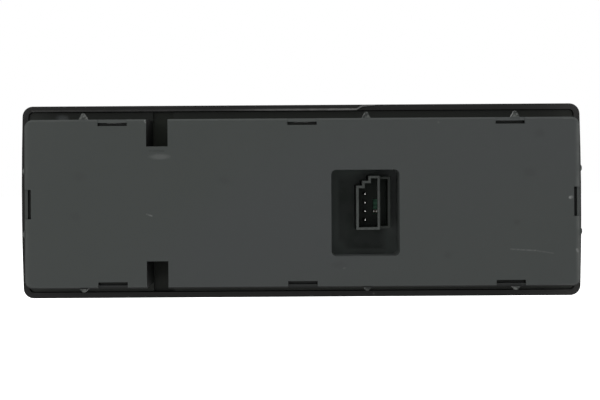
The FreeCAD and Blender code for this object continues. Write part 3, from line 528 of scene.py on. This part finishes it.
def make_header_plastic():
    """The connector header's black plastic, with painted shade inside and a painted highlight on its rim."""
    material, tree, shader, place = new_material("header_plastic", 0.42, 0.08)
    skin = place_group(tree, moulded_grain, Vector=place, Grain_per_metre=5200.0)
    x, y, z = axes(tree, place)
    shelf = mix(tree, skin["Tone"], (0.024, 0.027, 0.0245), (0.03, 0.0335, 0.0305))
    # The outer faces at the left, which step to the right twice near the top, are left out of the painted shade
    outside = calc(tree, "LESS_THAN", x, 15.5)
    for step_x, step_z in ((17.25, 4.6), (19.0, 6.0)):
        left_of = calc(tree, "LESS_THAN", x, step_x)
        above = calc(tree, "GREATER_THAN", z, step_z)
        outside = calc(tree, "MAXIMUM", outside, calc(tree, "MULTIPLY", left_of, above))
    inside = calc(tree, "SUBTRACT", 1.0, outside)
    # Painted shade inside the header's mouth, growing deeper in
    deep = calc(tree, "MULTIPLY", ramp(tree, y, *header_inside_depths), inside)
    colour = mix(tree, deep, shelf, (0.0035, 0.0066, 0.0042))
    # Painted highlight on the header's rim, broken into patches and weaker over the latch bay
    rim = ramp(tree, y, *header_rim_depths, 1.0, 0.0)
    uneven_patches = ramp(tree, noise(tree, place, 1300.0, 2.0), 0.3, 0.6, 0.6, 0.95)
    less_on_latch_bay = ramp(tree, x, 21.6, 22.4, 1.0, 0.28)
    colour = mix(tree, chain(tree, "MULTIPLY", rim, uneven_patches, less_on_latch_bay), colour, (0.072, 0.078, 0.074))
    coat(tree, shader, colour, skin, 0.42, depth=0.01 * MM)
    return material


def make_pin_metal():
    """Tin plating, brighter and smoother in patches."""
    material, tree, shader, place = new_material("pin_metal", 0.16, 0.5, 1.0)
    patches = noise(tree, place, 1800.0, 3.0)
    plug(tree, shader["Base Color"], mix(tree, patches, (0.86, 0.85, 0.82), (0.93, 0.93, 0.91)))
    plug(tree, shader["Roughness"], ramp(tree, patches, 0.3, 0.7, 0.1, 0.2))
    return material


def make_board_laminate():
    """Green solder mask over copper tracks, paler where the copper lies under it."""
    material, tree, shader, place = new_material("board_laminate", 0.32, 0.5)
    steps = vector_calc(tree, "SNAP", place, (1.6 * MM, 1.0, 1.6 * MM)).outputs["Vector"]
    cells = noise(tree, steps, 420.0, 0.0)
    waves = []
    for direction in ("X", "Z"):
        wave = tree.nodes.new("ShaderNodeTexWave")
        wave.bands_direction = direction
        plug(tree, wave.inputs["Vector"], place)
        wave.inputs["Scale"].default_value = 260.0
        waves.append(wave.outputs["Fac"])
    upright = calc(tree, "GREATER_THAN", cells, 0.5)
    first = calc(tree, "MULTIPLY", waves[0], upright)
    second = calc(tree, "MULTIPLY", waves[1], calc(tree, "SUBTRACT", 1.0, upright))
    tracks = ramp(tree, calc(tree, "ADD", first, second), 0.5, 0.6)
    plug(tree, shader["Base Color"], mix(tree, tracks, (0.05, 0.125, 0.083), (0.075, 0.185, 0.12)))
    plug(tree, shader["Roughness"], ramp(tree, noise(tree, place, 500.0), 0.3, 0.7, 0.26, 0.38))
    bump(tree, shader, tracks, 0.5, 0.03 * MM)
    return material


def make_brushed_metal(name, dark, light, roughness, turns):
    """Turned or drawn metal with fine marks round its axis."""
    material, tree, shader, place = new_material(name, roughness, 0.5, 1.0)
    stretched = vector_calc(tree, "MULTIPLY", place, (1.0, turns, 1.0)).outputs["Vector"]
    marks = noise(tree, stretched, 900.0, 3.0, 0.6)
    plug(tree, shader["Base Color"], mix(tree, marks, dark, light))
    plug(tree, shader["Roughness"], ramp(tree, marks, 0.3, 0.7, roughness - 0.08, roughness + 0.1))
    bump(tree, shader, marks, 0.2, 0.01 * MM)
    return material


def make_mat_silicone():
    """Milky silicone, which lets a little light through."""
    material, tree, shader, place = new_material("mat_silicone", 0.45, 0.4)
    cloud = noise(tree, place, 160.0, 3.0)
    plug(tree, shader["Base Color"], mix(tree, cloud, (0.5, 0.5, 0.48), (0.62, 0.62, 0.6)))
    plug(tree, shader["Roughness"], ramp(tree, cloud, 0.3, 0.7, 0.38, 0.52))
    shader["Subsurface Weight"].default_value = 0.15
    shader["Subsurface Radius"].default_value = (4 * MM, 4 * MM, 4 * MM)
    bump(tree, shader, noise(tree, place, 2400.0, 2.0), 0.2, 0.02 * MM)
    return material


def make_guide_clear():
    """Clear polished plastic with slight haze at its ends."""
    material, tree, shader, place = new_material("guide_clear", 0.12, 0.5)
    shader["Transmission Weight"].default_value = 0.85
    shader["IOR"].default_value = 1.49
    haze = noise(tree, place, 900.0, 2.0)
    plug(tree, shader["Base Color"], mix(tree, haze, (0.8, 0.84, 0.84), (0.9, 0.92, 0.92)))
    plug(tree, shader["Roughness"], ramp(tree, haze, 0.3, 0.7, 0.06, 0.2))
    return material


def make_tinned_chip(name, body_dark, body_light, centres, half_body):
    """Chip parts with a fired body and tinned ends, centred at some places along X in millimetres."""
    material, tree, shader, place = new_material(name, 0.4, 0.5)
    speckle = noise(tree, place, 3200.0, 3.0, 0.7)
    x = axes(tree, place)[0]
    distances = [calc(tree, "ABSOLUTE", calc(tree, "SUBTRACT", x, centre)) for centre in centres]
    ends = calc(tree, "GREATER_THAN", chain(tree, "MINIMUM", *distances), half_body)
    body = mix(tree, speckle, body_dark, body_light)
    plug(tree, shader["Base Color"], mix(tree, ends, body, (0.55, 0.55, 0.52)))
    plug(tree, shader["Metallic"], ends)
    plug(tree, shader["Roughness"], ramp(tree, speckle, 0.3, 0.7, 0.3, 0.46))
    bump(tree, shader, speckle, 0.3, 0.01 * MM)
    return material


def make_printed_legend():
    """Off-white print, its coverage a little rubbed away by use."""
    material, tree, shader, place = new_material("legend_white", 0.5, 0.35)
    uneven_patches = ramp(tree, noise(tree, place, 1500.0, 4.0, 0.7), 0.3, 0.5)
    plug(tree, shader["Base Color"], mix(tree, uneven_patches, (0.5, 0.5, 0.49), (0.74, 0.74, 0.72)))
    plug(tree, shader["Roughness"], ramp(tree, uneven_patches, 0.0, 1.0, 0.6, 0.45))
    return material


materials = {
    "cover_plastic": make_cover_plastic(),
    "bezel_plastic": make_bezel_plastic(),
    "carrier_plastic": make_carrier_plastic(),
    "key_plastic": moulded_plastic(
        "key_plastic", (0.0105, 0.0105, 0.0105), (0.014, 0.014, 0.0138), 0.55, 0.16, 4200.0, 0.012 * MM
    ),
    "header_plastic": make_header_plastic(),
    "pin_metal": make_pin_metal(),
    "board_laminate": make_board_laminate(),
    "screw_steel": make_brushed_metal("screw_steel", (0.5, 0.51, 0.53), (0.68, 0.69, 0.7), 0.32, 6.0),
    "mat_silicone": make_mat_silicone(),
    "pill_carbon": moulded_plastic(
        "pill_carbon", (0.012, 0.012, 0.012), (0.02, 0.02, 0.02), 0.7, 0.3, 5000.0, 0.02 * MM
    ),
    "guide_clear": make_guide_clear(),
    "lamp_white": moulded_plastic(
        "lamp_white", (0.7, 0.7, 0.66), (0.8, 0.8, 0.77), 0.4, 0.5, 4000.0, 0.01 * MM
    ),
    "package_black": moulded_plastic(
        "package_black", (0.014, 0.014, 0.014), (0.02, 0.02, 0.02), 0.5, 0.4, 6000.0, 0.01 * MM
    ),
    "can_aluminium": make_brushed_metal("can_aluminium", (0.66, 0.67, 0.68), (0.8, 0.81, 0.82), 0.3, 8.0),
    "capacitor_ceramic": make_tinned_chip(
        "capacitor_ceramic", (0.2, 0.19, 0.165), (0.27, 0.255, 0.22), (21.5, -12.75, -20.75, 34.25, 42.25), 0.34
    ),
    "resistor_ceramic": make_tinned_chip(
        "resistor_ceramic", (0.035, 0.035, 0.04), (0.07, 0.07, 0.075),
        (-4.75, -59.75, -34.25, -8.75, 16.75, 42.25), 0.41
    ),
}
legend_white = make_printed_legend()

slot_of = {part["node"]: part["material_slot"] for part in frame["record"]["subparts"]}


def dress(name, piece):
    """Gives a node its material, and rounds its edges where they show."""
    piece.data.materials.clear()
    piece.data.materials.append(materials[slot_of[name]])
    weld = piece.modifiers.new("weld", "WELD")
    weld.merge_threshold = 0.001 * MM
    radius = edge_radius.get(name, rocker_radius if "rocker" in name else 0.0)
    if radius:
        rounding = piece.modifiers.new("rounding", "BEVEL")
        rounding.width = radius * MM
        rounding.segments = 2
        rounding.limit_method = "ANGLE"
        rounding.angle_limit = math.radians(30)
        levelled = piece.modifiers.new("levelled", "WEIGHTED_NORMAL")
        levelled.mode = "FACE_AREA"
        levelled.weight = 100
    for face in piece.data.polygons:
        face.use_smooth = True


for name, piece in frame["nodes"].items():
    dress(name, piece)


# Printed legends on the keys, drawn as loops of (x, z) points in millimetres

def ring(points, width):
    """An outline and the same outline moved inwards by a width, as two loops."""
    count = len(points)
    inner = []
    for index in range(count):
        before = Vector(points[index - 1])
        here = Vector(points[index])
        after = Vector(points[(index + 1) % count])
        come = (here - before).normalized()
        go = (after - here).normalized()
        normal_in = Vector((-come.y, come.x))
        normal_out = Vector((-go.y, go.x))
        half = (normal_in + normal_out).normalized()
        inner.append(tuple(here + half * width / half.dot(normal_in)))
    return [points, inner]


def arc(radius, start, stop, step):
    """Points on a circle round the middle of a padlock's bow, between two angles in degrees."""
    angles = [math.radians(angle) for angle in range(start, stop, step)]
    return [(radius * math.cos(angle), 1.0 + radius * math.sin(angle)) for angle in angles]


def shackle(lift):
    """A padlock's bow, with its right leg lifted where it is open."""
    outer, inner, foot = 1.15, 0.7, 0.3
    over = [(outer, foot + lift)] + arc(outer, 0, 181, 20)
    back = [(-outer, foot), (-inner, foot)] + arc(inner, 180, -1, -20)
    return [over + back + [(inner, foot + lift)]]


def raised(loops, lift):
    """Loops shifted along Z."""
    return [[(x, z + lift) for x, z in loop] for loop in loops]


window_sign = ring([(-3.1, -1.9), (3.1, -1.9), (3.1, 1.9), (-0.9, 1.9)], 0.45)
up_sign = [[(-1.5, -0.6), (1.5, -0.6), (0.0, 1.1)]]
down_sign = [[(-1.5, 0.6), (0.0, -1.1), (1.5, 0.6)]]
strike_sign = [[(-3.3, -2.5), (-2.8, -2.9), (3.3, 2.5), (2.8, 2.9)]]
lock_body = [[(-1.5, -2.0), (1.5, -2.0), (1.5, 0.3), (-1.5, 0.3)]]


def print_on(name, loops, column, body):
    """Fills loops and lays them on the front of the node that makes up a body."""
    curve = bpy.data.curves.new(name, "CURVE")
    curve.dimensions = "2D"
    curve.fill_mode = "BOTH"
    for loop in loops:
        spline = curve.splines.new("POLY")
        spline.points.add(len(loop) - 1)
        for point, (x, z) in zip(spline.points, loop):
            point.co = (x * MM, z * MM, 0.0, 1.0)
        spline.use_cyclic_u = True
    outline = bpy.data.objects.new(name, curve)
    bpy.context.scene.collection.objects.link(outline)
    bpy.context.view_layer.update()
    graph = bpy.context.evaluated_depsgraph_get()
    sign = bmesh.new()
    sign.from_mesh(bpy.data.meshes.new_from_object(outline.evaluated_get(graph)))
    bpy.data.objects.remove(outline)
    bmesh.ops.remove_doubles(sign, verts=sign.verts, dist=0.001 * MM)
    # Cuts across the sign, so that it can follow the key's curve
    heights = [vertex.co.y for vertex in sign.verts]
    step = 0.5 * MM
    level = math.floor(min(heights) / step) * step
    while level < max(heights):
        geometry = sign.verts[:] + sign.edges[:] + sign.faces[:]
        bmesh.ops.bisect_plane(sign, geom=geometry, plane_co=(0, level, 0), plane_no=(0, 1, 0))
        level += step
    surface = BVHTree.FromObject(frame["nodes"][body], graph)
    for vertex in sign.verts:
        start = Vector((column + vertex.co.x, above_keys, vertex.co.y))
        hit = surface.ray_cast(start, Vector((0, -1, 0)))[0]
        vertex.co = hit + Vector((0, print_rise, 0))
    bmesh.ops.recalc_face_normals(sign, faces=sign.faces)
    for face in sign.faces:
        if face.normal.y < 0:
            face.normal_flip()
    mesh = bpy.data.meshes.new(name)
    sign.to_mesh(mesh)
    sign.free()
    mesh.materials.append(legend_white)
    piece = bpy.data.objects.new(name, mesh)
    bpy.context.scene.collection.objects.link(piece)
    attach(piece, body)


window_keys = [
    "window_rocker_front_left",
    "window_rocker_front_right",
    "window_rocker_rear_left",
    "window_rocker_rear_right",
]
window_legend = window_sign + raised(up_sign, 7.6) + raised(down_sign, -7.6)
for body, column in zip(window_keys, key_columns):
    print_on(body + "_legend", window_legend, column, body)
lock_legend = raised(lock_body + shackle(0.0), 5.2) + raised(lock_body + shackle(0.9), -4.6)
print_on("lock_rocker_legend", lock_legend, key_columns[4], "lock_rocker")
for name, loops in (("lockout_button_window", window_sign), ("lockout_button_strike", strike_sign)):
    print_on(name, raised(loops, -8.0), key_columns[5], "lockout_button")


# Floor, light and camera

def make_floor():
    """A pale floor that reads as white where nothing shades it."""
    bpy.ops.mesh.primitive_plane_add(size=6.0, location=(0, 0, floor_z))
    floor = bpy.context.object
    floor.name = "floor"
    material = bpy.data.materials.new("floor_white")
    material.use_nodes = True
    tree = material.node_tree
    shader = tree.nodes["Principled BSDF"]
    shader.inputs["Base Color"].default_value = (0.85, 0.85, 0.85, 1)
    shader.inputs["Roughness"].default_value = 0.9
    shader.inputs["Specular IOR Level"].default_value = 0.1
    shader.inputs["Emission Color"].default_value = (1, 1, 1, 1)
    path = tree.nodes.new("ShaderNodeLightPath").outputs
    seen = chain(tree, "ADD", path["Is Camera Ray"], path["Is Glossy Ray"], path["Is Transmission Ray"])
    plug(tree, shader.inputs["Emission Strength"], calc(tree, "MULTIPLY", seen, floor_glow))
    floor.data.materials.append(material)


def make_world():
    """Even light from all round, with white behind everything that the camera sees."""
    world = bpy.data.worlds.new("studio")
    world.use_nodes = True
    bpy.context.scene.world = world
    tree = world.node_tree
    path = tree.nodes.new("ShaderNodeLightPath").outputs
    seen = chain(tree, "MAXIMUM", path["Is Camera Ray"], path["Is Glossy Ray"], path["Is Transmission Ray"])
    background = tree.nodes["Background"].inputs
    background["Color"].default_value = (1, 1, 1, 1)
    plug(tree, background["Strength"], calc(tree, "MULTIPLY_ADD", seen, 1.0 - world_level, world_level))


def soft_light(name, place, size, power):
    """A square soft box that faces the module."""
    lamp = bpy.data.lights.new(name, "AREA")
    lamp.shape = "SQUARE"
    lamp.size = size
    lamp.energy = power
    light = bpy.data.objects.new(name, lamp)
    light.location = place
    light.rotation_euler = (-Vector(place)).to_track_quat("-Z", "Y").to_euler()
    bpy.context.scene.collection.objects.link(light)


def make_camera():
    """The camera that took the photograph's view."""
    lens = bpy.data.cameras.new("camera")
    lens.lens = camera_lens
    lens.sensor_width = 36.0
    lens.shift_x, lens.shift_y = camera_shift
    lens.clip_start = 0.01
    camera = bpy.data.objects.new("camera", lens)
    camera.location = camera_place
    camera.rotation_euler = Euler((math.pi / 2, camera_roll, 0), "XYZ")
    bpy.context.scene.collection.objects.link(camera)
    bpy.context.scene.camera = camera


make_floor()
make_world()
for name, (place, size, power) in soft_boxes.items():
    soft_light(name, place, size, power)
make_camera()
bpy.context.scene.view_settings.view_transform = "Standard"
